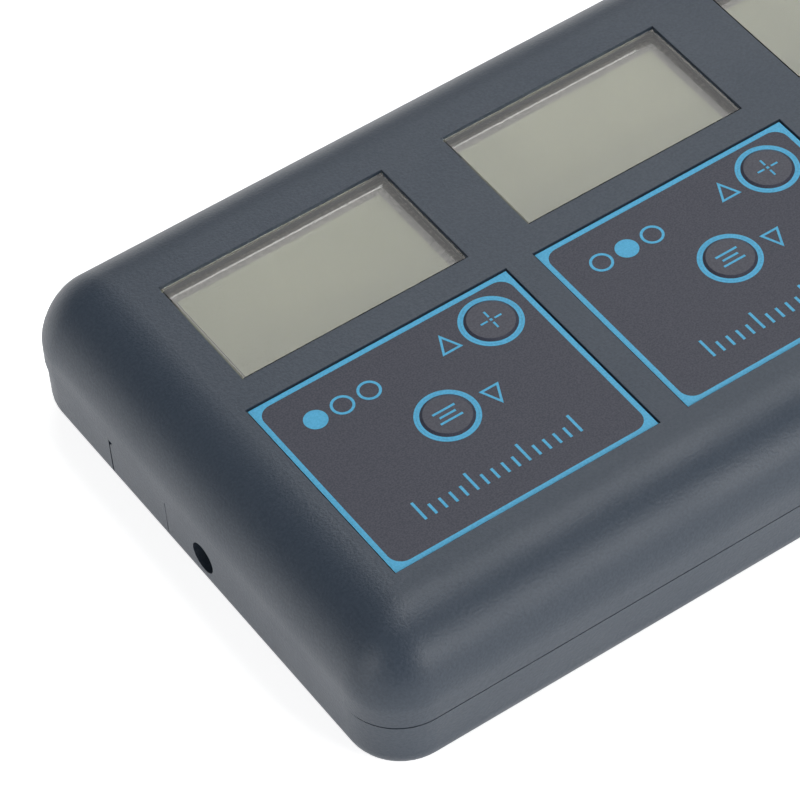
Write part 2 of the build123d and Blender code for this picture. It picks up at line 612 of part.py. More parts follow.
def board_screws():
    """Hexagon-headed screws that hold the circuit boards against their bosses."""
    low = BOARD_Z - BOARD_SCREW_HEAD_T
    screw = extrude(Pos(0, 0, low) * RegularPolygon(BOARD_SCREW_HEAD_R, 6), amount=BOARD_SCREW_HEAD_T)
    screw += post(BOARD_SCREW_R, BOARD_Z, BOARD_Z + BOARD_SCREW_LENGTH)
    return [Pos(m + x, y, 0) * screw for m in MODULE_XS for x, y in board_screw_places()]


def case_screw():
    """Pan-headed case screw, driven from below, with a cross recess in its head."""
    seat = COUNTERBORE_DEPTH
    head_t = CASE_SCREW_HEAD_T
    head = post(CASE_SCREW_HEAD_R, seat - head_t, seat)
    head = chamfer(head.edges().filter_by(GeomType.CIRCLE).sort_by(Axis.Z)[0], head_t / 3)
    screw = head + post(CASE_SCREW_R, seat, seat + CASE_SCREW_LENGTH)
    span = CROSS_SLOT_SPAN * CASE_SCREW_HEAD_R
    for width, depth in ((span, CROSS_SLOT_WIDTH), (CROSS_SLOT_WIDTH, span)):
        screw -= slab(0, 0, width, depth, seat - head_t - OVER, seat - head_t / 2)
    return screw


def dc_jack():
    """Moulded power inlet body behind the hole in the left end wall."""
    half = JACK_BODY_SIDE / 2
    front = JACK_SETBACK - INNER_HALF_LENGTH
    back = JACK_BODY_LENGTH - INNER_HALF_LENGTH
    body = block(front, back, JACK_Y - half, JACK_Y + half, JACK_Z - half, JACK_Z + half)
    body -= bar(JACK_HOLE_R, front - OVER, front + JACK_BORE_DEPTH, JACK_Y, JACK_Z)
    return body


def dc_jack_pin():
    """Centre pin of the power inlet, bevelled at its free end."""
    front = JACK_SETBACK - INNER_HALF_LENGTH
    tip = front + JACK_PIN_SETBACK
    pin = bar(JACK_PIN_R, tip, front + JACK_BORE_DEPTH, JACK_Y, JACK_Z)
    return chamfer(pin.edges().filter_by(GeomType.CIRCLE).sort_by(Axis.X)[0], JACK_PIN_R / 2)


def probe_socket(y):
    """Bayonet socket: hexagonal flange outside, lugged barrel, and a threaded rear through the wall."""
    z = PARTING_Z
    mouth = END_FACE_X + SOCKET_REACH
    flange_end = END_FACE_X + SOCKET_FLANGE_T
    socket = bolt_hex(SOCKET_HEX, END_FACE_X, flange_end, y, z)
    socket += bar(SOCKET_BARREL_R, flange_end, mouth, y, z)
    socket += bar(SOCKET_THREAD_R, END_FACE_X - SOCKET_REAR_LENGTH, END_FACE_X, y, z)
    lug_half = SOCKET_BARREL_R + SOCKET_LUG_RISE
    lug = Pos(mouth - SOCKET_LUG_FROM_MOUTH, y, z) * Cylinder(SOCKET_LUG_R, 2 * lug_half)
    socket += lug
    socket -= bar(SOCKET_MOUTH_R, mouth - SOCKET_MOUTH_DEPTH, mouth + OVER, y, z)
    socket -= bar(INSULATOR_R, END_FACE_X - SOCKET_REAR_LENGTH - OVER, mouth, y, z)
    return socket


def probe_insulator(y):
    """Plastic sleeve between a socket's shell and its centre contact."""
    mouth = END_FACE_X + SOCKET_REACH
    rear = END_FACE_X - SOCKET_REAR_LENGTH
    sleeve = bar(INSULATOR_R, rear, mouth - INSULATOR_SETBACK, y, PARTING_Z)
    return sleeve - bar(CONTACT_TUBE_R, rear - OVER, mouth, y, PARTING_Z)


def probe_contact(y):
    """Centre contact: a tube at the mouth and a solder pin behind."""
    mouth = END_FACE_X + SOCKET_REACH
    rear = END_FACE_X - SOCKET_REAR_LENGTH - SOLDER_PIN_LENGTH
    tube = bar(CONTACT_TUBE_R, rear, mouth - INSULATOR_SETBACK, y, PARTING_Z)
    return tube - bar(CONTACT_BORE_R, mouth - SOCKET_MOUTH_DEPTH, mouth, y, PARTING_Z)


def ring_on_socket(outer, y, x0, x1):
    """Round washer on a socket's thread, inside the case."""
    ring = bar(outer, x0, x1, y, PARTING_Z)
    return ring - bar(SOCKET_THREAD_R + SCREW_CLEARANCE / 2, x0 - OVER, x1 + OVER, y, PARTING_Z)


def probe_washer(y):
    """Washer between a socket's nut and the pad of the end wall."""
    return ring_on_socket(WASHER_R, y, SOCKET_SEAT_X - WASHER_T, SOCKET_SEAT_X)


def probe_nut(y):
    """Hexagonal nut that clamps a socket from inside the case."""
    x1 = SOCKET_SEAT_X - WASHER_T
    x0 = x1 - NUT_T
    nut = bolt_hex(SOCKET_HEX, x0, x1, y, PARTING_Z)
    return nut - bar(SOCKET_THREAD_R + SCREW_CLEARANCE / 2, x0 - OVER, x1 + OVER, y, PARTING_Z)


def temperature_jack():
    """Small round jack: a moulded body inside the case and a bush through the end wall."""
    half = PHONO_BODY_SIDE / 2
    x0 = SOCKET_SEAT_X - PHONO_BODY_LENGTH
    z = PARTING_Z
    jack = block(x0, SOCKET_SEAT_X, PHONO_Y - half, PHONO_Y + half, z - half, z + half)
    mouth = END_FACE_X + PHONO_BUSH_REACH
    jack += bar(PHONO_BUSH_R, SOCKET_SEAT_X, mouth, PHONO_Y, z)
    return jack - bar(PHONO_BORE_R, mouth - PHONO_BORE_DEPTH, mouth + OVER, PHONO_Y, z)


def temperature_jack_nut():
    """Round slotted nut on the jack's bush, outside the case."""
    x1 = END_FACE_X + PHONO_NUT_T
    nut = bar(PHONO_NUT_R, END_FACE_X, x1, PHONO_Y, PARTING_Z)
    bore_r = PHONO_BUSH_R + SCREW_CLEARANCE / 2
    nut -= bar(bore_r, END_FACE_X - OVER, x1 + OVER, PHONO_Y, PARTING_Z)
    slot = Pos(x1, PHONO_Y, PARTING_Z) * Box(PHONO_NUT_T, 3 * PHONO_NUT_R, CROSS_SLOT_WIDTH)
    return nut - slot


def battery_cell(index):
    """Slim round cell lying along the bay, its nub towards the left end."""
    x0 = BAY_X0 + CONTACT_T + index * CELL_LENGTH
    can = bar(CELL_D / 2, x0 + CELL_NUB_LENGTH, x0 + CELL_LENGTH, COVER_Y, CELL_Z)
    can = chamfer(can.edges().filter_by(GeomType.CIRCLE), CELL_NUB_LENGTH / 2)
    return can + bar(CELL_NUB_D / 2, x0, x0 + CELL_NUB_LENGTH, COVER_Y, CELL_Z)


def battery_contact_plate():
    """Flat contact at the left end of the bay."""
    x = BAY_X0 + CONTACT_T / 2
    return slab(x, COVER_Y, CONTACT_T, CONTACT_WIDTH, SHELF_Z + SHELF_T, BAY_ROOF_Z)


def battery_contact_spring():
    """Bowed leaf contact at the right end of the bay, with its flat tab on the bay wall."""
    t = CONTACT_T
    base_x = BAY_X1 - t
    bow_x = base_x - SPRING_LENGTH
    z0 = SHELF_Z + SHELF_T
    tab = slab(base_x + t / 2, COVER_Y, t, CONTACT_WIDTH, z0, BAY_ROOF_Z)
    low = z0 + t
    high = BAY_ROOF_Z - t
    middle = (low + high) / 2
    outer = ThreePointArc((base_x, low), (bow_x, middle), (base_x, high))
    inner = ThreePointArc((base_x, high - t), (bow_x + t, middle), (base_x, low + t))
    ends = [Line(outer @ 1, inner @ 0), Line(inner @ 1, outer @ 0)]
    bow = make_face([outer, inner] + ends)
    leaf = extrude(Plane.XZ * bow, amount=CONTACT_WIDTH / 2, both=True)
    return tab + Pos(0, COVER_Y, 0) * leaf


def flat_lead(x_end, x_bend, y, z_end):
    """Flat two-core lead from a solder end, level along X, then up to the underside of a board."""
    half = LEAD_T / 2
    arc_z = z_end + LEAD_BEND_R
    arc_x = x_bend - math.copysign(LEAD_BEND_R, x_bend - x_end)
    level = slab((x_end + arc_x) / 2, y, abs(arc_x - x_end), LEAD_WIDTH, z_end - half, z_end + half)
    ring = Cylinder(LEAD_BEND_R + half, LEAD_WIDTH) - Cylinder(LEAD_BEND_R - half, LEAD_WIDTH)
    ring = Pos(arc_x, y, arc_z) * Rot(90, 0, 0) * ring
    span = 2 * LEAD_BEND_R
    quarter = slab(arc_x + math.copysign(span / 2, x_bend - x_end), y, span, LEAD_WIDTH, z_end - half, arc_z)
    rise = slab(x_bend, y, LEAD_T, LEAD_WIDTH, arc_z, BOARD_Z)
    return level + (ring & quarter) + rise


def hookup_leads():
    """Leads from the probe sockets, the probe jack and the power inlet to the boards."""
    rear = END_FACE_X - SOCKET_REAR_LENGTH - SOLDER_PIN_LENGTH
    leads = [flat_lead(rear, rear - LEAD_RUN, y, PARTING_Z) for y in SOCKET_YS]
    rear = SOCKET_SEAT_X - PHONO_BODY_LENGTH
    leads.append(flat_lead(rear, rear - LEAD_RUN, PHONO_Y, PARTING_Z))
    rear = JACK_BODY_LENGTH - INNER_HALF_LENGTH
    leads.append(flat_lead(rear, rear + LEAD_RUN, JACK_Y, JACK_Z + LEAD_BEND_R))
    return leads


def write(name, solids):
    """Write one sub-part, given as a solid or a list of solids, to its own STEP file."""
    if isinstance(solids, list):
        solids = Compound(children=solids)
    solids.label = name
    export_step(solids, os.path.join("parts", name + ".step"))


def main():
    os.makedirs("parts", exist_ok=True)
    write("top_housing", top_housing())
    write("bottom_housing", bottom_housing())
    write("battery_cover", battery_cover())
    for number, x in enumerate(MODULE_XS, 1):
        write(f"display_window_{number}", display_window(x))
        write(f"lcd_cell_{number}", lcd_cell(x))
        write(f"lcd_bezel_{number}", lcd_bezel(x))
        write(f"lcd_connector_{number}", lcd_connector(x))
        write(f"control_label_{number}", control_label(x))
        write(f"circuit_board_{number}", circuit_board(x))
        for kind, (key_x, key_y) in (("cal", CAL_KEY), ("mode", MODE_KEY)):
            write(f"{kind}_key_{number}", key_cap(x + key_x, key_y))
            write(f"{kind}_key_stem_{number}", key_stem(x + key_x, key_y))
            write(f"{kind}_switch_{number}", key_switch(x + key_x, key_y))
    write("processor_chips", [processor_chip(x) for x in MODULE_XS])
    write("board_screws", board_screws())
    write("case_screws", [Pos(x, y, 0) * case_screw() for x, y in CASE_SCREWS])
    write("dc_jack", dc_jack())
    write("dc_jack_pin", dc_jack_pin())
    for number, y in enumerate(SOCKET_YS, 1):
        write(f"probe_socket_{number}", probe_socket(y))
    write("probe_socket_insulators", [probe_insulator(y) for y in SOCKET_YS])
    write("probe_socket_contacts", [probe_contact(y) for y in SOCKET_YS])
    write("probe_socket_washers", [probe_washer(y) for y in SOCKET_YS])
    write("probe_socket_nuts", [probe_nut(y) for y in SOCKET_YS])
    write("temperature_jack", temperature_jack())
    write("temperature_jack_nut", temperature_jack_nut())
    for index in range(CELL_COUNT):
        write(f"battery_cell_{index + 1}", battery_cell(index))
    write("hookup_leads", hookup_leads())
    write("battery_contact_plate", battery_contact_plate())
    write("battery_contact_spring", battery_contact_spring())


main()
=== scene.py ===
import math

import bpy
from mathutils import Matrix, Vector


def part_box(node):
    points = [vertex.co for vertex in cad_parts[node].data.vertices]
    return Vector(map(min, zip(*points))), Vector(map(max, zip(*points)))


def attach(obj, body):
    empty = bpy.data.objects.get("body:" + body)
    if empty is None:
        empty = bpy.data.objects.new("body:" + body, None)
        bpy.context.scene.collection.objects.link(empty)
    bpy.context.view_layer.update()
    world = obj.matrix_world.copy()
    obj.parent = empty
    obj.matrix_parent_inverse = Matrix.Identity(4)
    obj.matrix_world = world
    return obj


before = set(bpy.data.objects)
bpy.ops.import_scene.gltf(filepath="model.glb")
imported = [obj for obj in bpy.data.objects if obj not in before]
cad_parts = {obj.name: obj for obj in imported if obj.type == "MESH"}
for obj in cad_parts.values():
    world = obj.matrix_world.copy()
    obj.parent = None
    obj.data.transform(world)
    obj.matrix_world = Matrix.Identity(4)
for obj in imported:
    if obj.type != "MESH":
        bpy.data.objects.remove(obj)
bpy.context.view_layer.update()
scene = bpy.context.scene
bpy.ops.object.select_all(action="DESELECT")

# The view: a long lens looks down at the left end of the case, so the module nearest that end
# is whole, the middle one is cut by the right edge and the far one only shows a corner.
bpy.ops.object.camera_add()
camera = bpy.context.object
camera.name = "camera"
camera.data.lens = 201.03
camera.data.sensor_width = 36.0
camera.data.clip_start = 0.05
camera.data.clip_end = 20.0
camera_right = Vector((0.82003927, -0.57044272, -0.04615945))
camera_up = Vector((0.45320131, 0.59800721, 0.66105669))
camera_back = Vector((-0.34949129, -0.56301197, 0.74891479))
camera_place = Vector((-0.31806, -0.41958, 0.57548))
turn = Matrix((camera_right, camera_up, camera_back)).transposed()
camera.matrix_world = Matrix.Translation(camera_place) @ turn.to_4x4()
scene.camera = camera
scene.view_settings.view_transform = "Standard"

# The table: a plain white sheet that the monitor stands on. It keeps the monitor's soft shadow,
# shows white in the view and in clear and shiny surfaces, and lights the case's walls from below.
TABLE_SIZE = 6.0
TABLE_GAP = 0.0005
PAPER_GLOW = 0.8
bpy.ops.mesh.primitive_plane_add(size=TABLE_SIZE, location=(0, 0, -TABLE_GAP))
table = bpy.context.object
table.name = "table"
paper = bpy.data.materials.new("white_paper")
paper.use_nodes = True
nodes = paper.node_tree.nodes
links = paper.node_tree.links
nodes.clear()
output = nodes.new("ShaderNodeOutputMaterial")
matt = nodes.new("ShaderNodeBsdfDiffuse")
matt.inputs["Color"].default_value = (0.9, 0.9, 0.9, 1)
glow = nodes.new("ShaderNodeEmission")
glow.inputs["Strength"].default_value = PAPER_GLOW
sheet = nodes.new("ShaderNodeAddShader")
links.new(matt.outputs[0], sheet.inputs[0])
links.new(glow.outputs[0], sheet.inputs[1])
lit = nodes.new("ShaderNodeMixShader")
path = nodes.new("ShaderNodeLightPath")
seen_or_shiny = nodes.new("ShaderNodeMath")
seen_or_shiny.operation = "ADD"
links.new(path.outputs["Is Camera Ray"], seen_or_shiny.inputs[0])
links.new(path.outputs["Is Glossy Ray"], seen_or_shiny.inputs[1])
seen_at_all = nodes.new("ShaderNodeMath")
seen_at_all.operation = "ADD"
seen_at_all.use_clamp = True
links.new(seen_or_shiny.outputs[0], seen_at_all.inputs[0])
links.new(path.outputs["Is Transmission Ray"], seen_at_all.inputs[1])
links.new(seen_at_all.outputs[0], lit.inputs["Fac"])
links.new(matt.outputs[0], lit.inputs[1])
links.new(sheet.outputs[0], lit.inputs[2])
links.new(lit.outputs[0], output.inputs["Surface"])
table.data.materials.append(paper)

# The light: a room that is white at the horizon, in place of a sheet that sweeps up, and dim
# overhead, with four soft boxes that draw the bands along the shoulders and fill the top face. A
# box has its direction from the case, its distance and side in metres, and its power in watts.
SKY_FADE_END = 0.16
SKY_STRENGTH = 0.12
world = bpy.data.worlds.new("white_room")
scene.world = world
world.use_nodes = True
nodes = world.node_tree.nodes
links = world.node_tree.links
nodes.clear()
output = nodes.new("ShaderNodeOutputWorld")
room = nodes.new("ShaderNodeBackground")
room.inputs["Color"].default_value = (1, 1, 1, 1)
sky_place = nodes.new("ShaderNodeTexCoord")
sky_axes = nodes.new("ShaderNodeSeparateXYZ")
sky_fade = nodes.new("ShaderNodeMapRange")
sky_fade.inputs["From Min"].default_value = 0.0
sky_fade.inputs["From Max"].default_value = SKY_FADE_END
sky_fade.inputs["To Min"].default_value = 1.0
sky_fade.inputs["To Max"].default_value = SKY_STRENGTH
links.new(sky_place.outputs["Generated"], sky_axes.inputs[0])
links.new(sky_axes.outputs["Z"], sky_fade.inputs["Value"])
links.new(sky_fade.outputs["Result"], room.inputs["Strength"])
links.new(room.outputs[0], output.inputs["Surface"])

aim = Vector((-0.03, 0, 0.02))
soft_boxes = {
    "overhead_light": ((0.30, 0.09, 0.950), 1.3, 0.50, 6.2),
    "front_light": ((0.30, -0.870, 0.400), 1.3, 0.50, 7.0),
    "back_light": ((0.45, 0.66, 0.62), 1.4, 0.70, 3.0),
    "corner_light": ((-0.93, -0.16, 0.33), 1.3, 0.25, 2.8),
}
for name, (direction, distance, size, power) in soft_boxes.items():
    place = Vector(direction).normalized() * distance + aim
    bpy.ops.object.light_add(type="AREA", location=place)
    lamp = bpy.context.object
    lamp.name = name
    lamp.data.shape = "SQUARE"
    lamp.data.size = size
    lamp.data.energy = power
    lamp.rotation_euler = (aim - place).to_track_quat("-Z", "Y").to_euler()


# The case: two moulded halves and the battery cover in one dark slate-blue plastic. The mould is
# spark-finished, so the surface is a fine even grain with a soft sheen.
def new_material(name, color, roughness, metallic=0.0):
    """Material with one surface shader; its fixed values sit on the shader itself."""
    material = bpy.data.materials.new(name)
    material.use_nodes = True
    shader = material.node_tree.nodes["Principled BSDF"]
    shader.inputs["Base Color"].default_value = (*color, 1)
    shader.inputs["Roughness"].default_value = roughness
    shader.inputs["Metallic"].default_value = metallic
    return material, shader


def noise_on_object(material, scale, detail=2.0, rough=0.5):
    """Noise texture that follows the piece, with features about 1/scale metres wide."""
    nodes = material.node_tree.nodes
    place = nodes.new("ShaderNodeTexCoord")
    noise = nodes.new("ShaderNodeTexNoise")
    noise.inputs["Scale"].default_value = scale
    noise.inputs["Detail"].default_value = detail
    noise.inputs["Roughness"].default_value = rough
    material.node_tree.links.new(place.outputs["Object"], noise.inputs["Vector"])
    return noise


def vary_color(material, shader, noise, low, high, start=0.35, end=0.65):
    """Colour that runs between two tones with a noise."""
    ramp = material.node_tree.nodes.new("ShaderNodeValToRGB")
    ramp.color_ramp.elements[0].position = start
    ramp.color_ramp.elements[0].color = (*low, 1)
    ramp.color_ramp.elements[1].position = end
    ramp.color_ramp.elements[1].color = (*high, 1)
    material.node_tree.links.new(noise.outputs["Fac"], ramp.inputs["Fac"])
    material.node_tree.links.new(ramp.outputs["Color"], shader.inputs["Base Color"])


def vary_roughness(material, shader, noise, low, high):
    """Roughness that runs between two values with a noise."""
    spread = material.node_tree.nodes.new("ShaderNodeMapRange")
    spread.inputs["From Min"].default_value = 0.3
    spread.inputs["From Max"].default_value = 0.7
    spread.inputs["To Min"].default_value = low
    spread.inputs["To Max"].default_value = high
    material.node_tree.links.new(noise.outputs["Fac"], spread.inputs["Value"])
    material.node_tree.links.new(spread.outputs["Result"], shader.inputs["Roughness"])


def add_bump(material, shader, noise, depth, strength=1.0):
    """Relief of the given depth in metres from a noise."""
    bump = material.node_tree.nodes.new("ShaderNodeBump")
    bump.inputs["Distance"].default_value = depth
    bump.inputs["Strength"].default_value = strength
    material.node_tree.links.new(noise.outputs["Fac"], bump.inputs["Height"])
    material.node_tree.links.new(bump.outputs["Normal"], shader.inputs["Normal"])


def dress(material, *names):
    """Give CAD nodes a material in every slot of theirs."""
    for name in names:
        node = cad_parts[name]
        if not node.material_slots:
            node.data.materials.append(material)
        for slot in node.material_slots:
            slot.material = material


case_plastic, shader = new_material("moulded_case_plastic", (0.042, 0.060, 0.086), 0.42)
grain = noise_on_object(case_plastic, 2100, 3.0, 0.6)
vary_color(case_plastic, shader, grain, (0.036, 0.052, 0.076), (0.050, 0.068, 0.096))
mottle = noise_on_object(case_plastic, 60, 2.0)
vary_roughness(case_plastic, shader, mottle, 0.40, 0.46)
add_bump(case_plastic, shader, grain, 0.00008, 1.0)
dress(case_plastic, "top_housing", "bottom_housing", "battery_cover")

# The control labels: matt printed film, cut square and laid in the shallow pockets. Each has a
# blue border, an up and a down mark beside the keys, three spots of which the filled one tells
# the module's place, and a scale of ticks; all print is a thin layer of blue ink. Places are
# measured from the label's back left corner.
INK_T = 0.00004
LABEL_SIZE = Vector((0.052, 0.0425))
BORDER_LINE = 0.00095
BORDER_CORNER_R = 0.0026
ARROW_LINE = 0.00042
UP_ARROW_SIZE = (0.00235, 0.0029)
DOWN_ARROW_SIZE = (0.00225, 0.0029)
ARROW_X = 0.0346
UP_ARROW_Y = -0.0079
DOWN_ARROW_Y = -0.0208
SPOT_R = 0.0021
SPOT_LINE = 0.00048
SPOT_SIDES = 48
SPOT_START_X = 0.0027
SPOT_PITCH = 0.0053
SPOT_Y = -0.0081
TICK_COUNT = 16
TICK_PITCH = 0.00206
TICK_WIDTH = 0.0005
SHORT_TICK = 0.0024
LONG_TICK = 0.0042
LONG_TICK_EVERY = 5
TICKS_X = 0.0103
TICKS_Y = -0.0342
label_film, shader = new_material("label_film", (0.075, 0.075, 0.08), 0.5)
film_grain = noise_on_object(label_film, 3400, 2.0)
vary_color(label_film, shader, film_grain, (0.030, 0.033, 0.055), (0.058, 0.061, 0.086))
add_bump(label_film, shader, film_grain, 0.00002, 0.7)
dress(label_film, "control_label_1", "control_label_2", "control_label_3")

blue_ink, shader = new_material("blue_ink", (0.07, 0.42, 0.66), 0.45)
ink_grain = noise_on_object(blue_ink, 2600, 2.0)
vary_color(blue_ink, shader, ink_grain, (0.055, 0.41, 0.69), (0.085, 0.49, 0.80))
add_bump(blue_ink, shader, ink_grain, 0.00001, 0.5)


def seat(piece, x, y, z):
    """Put a finished flat piece in its place and leave its object at the origin."""
    bpy.ops.object.select_all(action="DESELECT")
    piece.location = (x, y, z)
    piece.select_set(True)
    bpy.context.view_layer.objects.active = piece
    bpy.ops.object.transform_apply(location=True, rotation=True, scale=True)


def bend_corners(piece, radius):
    """Round the corners of a flat face."""
    bpy.ops.object.mode_set(mode="EDIT")
    bpy.ops.mesh.select_all(action="SELECT")
    bpy.ops.mesh.bevel(offset=radius, segments=8, affect="VERTICES")
    bpy.ops.object.mode_set(mode="OBJECT")


def thicken(piece, thickness):
    """Turn a flat printed shape into a closed layer that rises from its own plane."""
    bpy.ops.object.mode_set(mode="OBJECT")
    layer = piece.modifiers.new("layer", "SOLIDIFY")
    layer.thickness = thickness
    layer.offset = 1.0
    bpy.ops.object.modifier_apply(modifier=layer.name)


def flat_outline(name, sides, half_x, half_y, line, turn=0.0):
    """Flat frame around a regular shape: the shape is inset by the line and its middle removed."""
    bpy.ops.object.select_all(action="DESELECT")
    bpy.ops.mesh.primitive_circle_add(vertices=sides, radius=1, fill_type="NGON", rotation=(0, 0, turn))
    piece = bpy.context.object
    piece.name = name
    bpy.ops.object.transform_apply(location=False, rotation=True, scale=False)
    piece.scale = (half_x, half_y, 1)
    bpy.ops.object.transform_apply(location=False, rotation=False, scale=True)
    bpy.ops.object.mode_set(mode="EDIT")
    bpy.ops.mesh.select_all(action="SELECT")
    bpy.ops.mesh.inset(thickness=line, depth=0)
    bpy.ops.mesh.delete(type="ONLY_FACE")
    thicken(piece, INK_T)
    return piece


def printed_border(name, size, line, radius):
    """Printed frame with square outer corners and rounded inner ones."""
    shapes = []
    for inset, height in ((0, INK_T), (line, 10 * INK_T)):
        bpy.ops.object.select_all(action="DESELECT")
        bpy.ops.mesh.primitive_plane_add(size=1)
        shape = bpy.context.object
        shape.scale = (size.x - 2 * inset, size.y - 2 * inset, 1)
        bpy.ops.object.transform_apply(location=False, rotation=False, scale=True)
        if inset:
            bend_corners(shape, radius)
        thicken(shape, height)
        shapes.append(shape)
    border, cutter = shapes
    border.name = name
    cutter.location.z = -5 * INK_T
    cut = border.modifiers.new("opening", "BOOLEAN")
    cut.object = cutter
    cut.operation = "DIFFERENCE"
    bpy.context.view_layer.objects.active = border
    bpy.ops.object.modifier_apply(modifier=cut.name)
    bpy.data.objects.remove(cutter)
    return border


def printed_bars(name, bars):
    """Printed rectangles, each given by its middle and its size, as one piece."""
    parts = []
    for x, y, width, depth in bars:
        bpy.ops.object.select_all(action="DESELECT")
        bpy.ops.mesh.primitive_plane_add(size=1, location=(x, y, 0))
        bpy.context.object.scale = (width, depth, 1)
        parts.append(bpy.context.object)
    for part in parts:
        part.select_set(True)
    bpy.ops.object.join()
    piece = bpy.context.object
    bpy.ops.object.transform_apply(location=True, rotation=False, scale=True)
    piece.name = name
    thicken(piece, INK_T)
    return piece


def printed_dot(name, radius):
    """Printed solid round spot."""
    bpy.ops.object.select_all(action="DESELECT")
    bpy.ops.mesh.primitive_circle_add(vertices=SPOT_SIDES, radius=radius, fill_type="NGON")
    piece = bpy.context.object
    piece.name = name
    thicken(piece, INK_T)
    return piece


label_boxes = [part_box(f"control_label_{n}") for n in (1, 2, 3)]
label_corners = [Vector((low[0], high[1], high[2])) for low, high in label_boxes]
for number, corner in enumerate(label_corners, 1):
    middle = (corner.x + LABEL_SIZE.x / 2, corner.y - LABEL_SIZE.y / 2, corner.z)
    border = printed_border(f"label_border_{number}", LABEL_SIZE, BORDER_LINE, BORDER_CORNER_R)
    seat(border, *middle)
    up_mark = flat_outline(f"up_mark_{number}", 3, *UP_ARROW_SIZE, ARROW_LINE)
    seat(up_mark, corner.x + ARROW_X, corner.y + UP_ARROW_Y, corner.z)
    down_mark = flat_outline(f"down_mark_{number}", 3, *DOWN_ARROW_SIZE, ARROW_LINE, math.pi)
    seat(down_mark, corner.x + ARROW_X, corner.y + DOWN_ARROW_Y, corner.z)
    printed = [border, up_mark, down_mark]
    for place in (1, 2, 3):
        name = f"module_mark_{number}_{place}"
        if place == number:
            spot = printed_dot(name, SPOT_R)
        else:
            spot = flat_outline(name, SPOT_SIDES, SPOT_R, SPOT_R, SPOT_LINE)
        seat(spot, corner.x + SPOT_START_X + place * SPOT_PITCH, corner.y + SPOT_Y, corner.z)
        printed.append(spot)
    ticks = []
    for i in range(TICK_COUNT):
        length = SHORT_TICK if i % LONG_TICK_EVERY else LONG_TICK
        ticks.append((i * TICK_PITCH, (length - LONG_TICK) / 2, TICK_WIDTH, length))
    scale_marks = printed_bars(f"scale_marks_{number}", ticks)
    seat(scale_marks, corner.x + TICKS_X, corner.y + TICKS_Y, corner.z)
    printed.append(scale_marks)
    for piece in printed:
        piece.data.materials.append(blue_ink)
        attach(piece, "housing")

# The keys: round pads embossed in the label. A printed ring lies half on the pad and half on the
# label around it, so it is cut where the pad can move. The raised middle has a cross or three bars.
KEY_PLACES = {"cal": (0.0435, -0.0077), "mode": (0.0257, -0.0204)}
RING_SIDES = 96
PAD_RING_R = 0.00515
PAD_RING_LINE = 0.00055
LABEL_RING_R = 0.00562
LABEL_RING_LINE = 0.00044
ARM = 0.0014
ARM_WIDTH = 0.00036
CROSS_MIDDLE = 0.0005
BAR_PITCH = 0.0012
BAR_WIDTH = 0.00042
LONG_BAR = 0.0044
SHORT_BAR = 0.0032
KEY_SIGNS = {
    "cal": [(0, ARM, ARM_WIDTH, ARM), (0, -ARM, ARM_WIDTH, ARM), (ARM, 0, ARM, ARM_WIDTH),
            (-ARM, 0, ARM, ARM_WIDTH), (0, 0, CROSS_MIDDLE, CROSS_MIDDLE)],
    "mode": [(0, BAR_PITCH, LONG_BAR, BAR_WIDTH), (0, 0, SHORT_BAR, BAR_WIDTH),
             (0, -BAR_PITCH, LONG_BAR, BAR_WIDTH)],
}
key_film, shader = new_material("key_film", (0.08, 0.08, 0.088), 0.38)
key_grain = noise_on_object(key_film, 3400, 2.0)
vary_color(key_film, shader, key_grain, (0.034, 0.037, 0.059), (0.058, 0.061, 0.086))
add_bump(key_film, shader, key_grain, 0.00002, 0.6)
for number, corner in enumerate(label_corners, 1):
    for kind, (right, back) in KEY_PLACES.items():
        dress(key_film, f"{kind}_key_{number}")
        x = corner.x + right
        y = corner.y + back
        pad_ring = flat_outline(f"{kind}_key_ring_{number}", RING_SIDES, PAD_RING_R, PAD_RING_R,
                                PAD_RING_LINE)
        seat(pad_ring, x, y, corner.z)
        label_ring = flat_outline(f"{kind}_label_ring_{number}", RING_SIDES, LABEL_RING_R, LABEL_RING_R,
                                  LABEL_RING_LINE)
        seat(label_ring, x, y, corner.z)
        sign = printed_bars(f"{kind}_key_sign_{number}", KEY_SIGNS[kind])
        seat(sign, x, y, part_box(f"{kind}_key_{number}")[1][2])
        key_body = f"{kind}_key_{number}"
        for piece, body in ((pad_ring, key_body), (label_ring, "housing"), (sign, key_body)):
            piece.data.materials.append(blue_ink)
            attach(piece, body)

# The windows: clear acrylic panes, polished on both faces, that fill the openings from below.
acrylic, shader = new_material("clear_acrylic", (0.97, 0.98, 0.96), 0.0)
shader.inputs["Transmission Weight"].default_value = 1.0
shader.inputs["IOR"].default_value = 1.49
nodes = acrylic.node_tree.nodes
links = acrylic.node_tree.links
through = nodes.new("ShaderNodeBsdfTransparent")
through.inputs["Color"].default_value = (0.93, 0.94, 0.92, 1)
pick = nodes.new("ShaderNodeMixShader")
path = nodes.new("ShaderNodeLightPath")
links.new(path.outputs["Is Shadow Ray"], pick.inputs["Fac"])
links.new(shader.outputs[0], pick.inputs[1])
links.new(through.outputs[0], pick.inputs[2])
links.new(pick.outputs[0], nodes["Material Output"].inputs["Surface"])
dress(acrylic, "display_window_1", "display_window_2", "display_window_3")

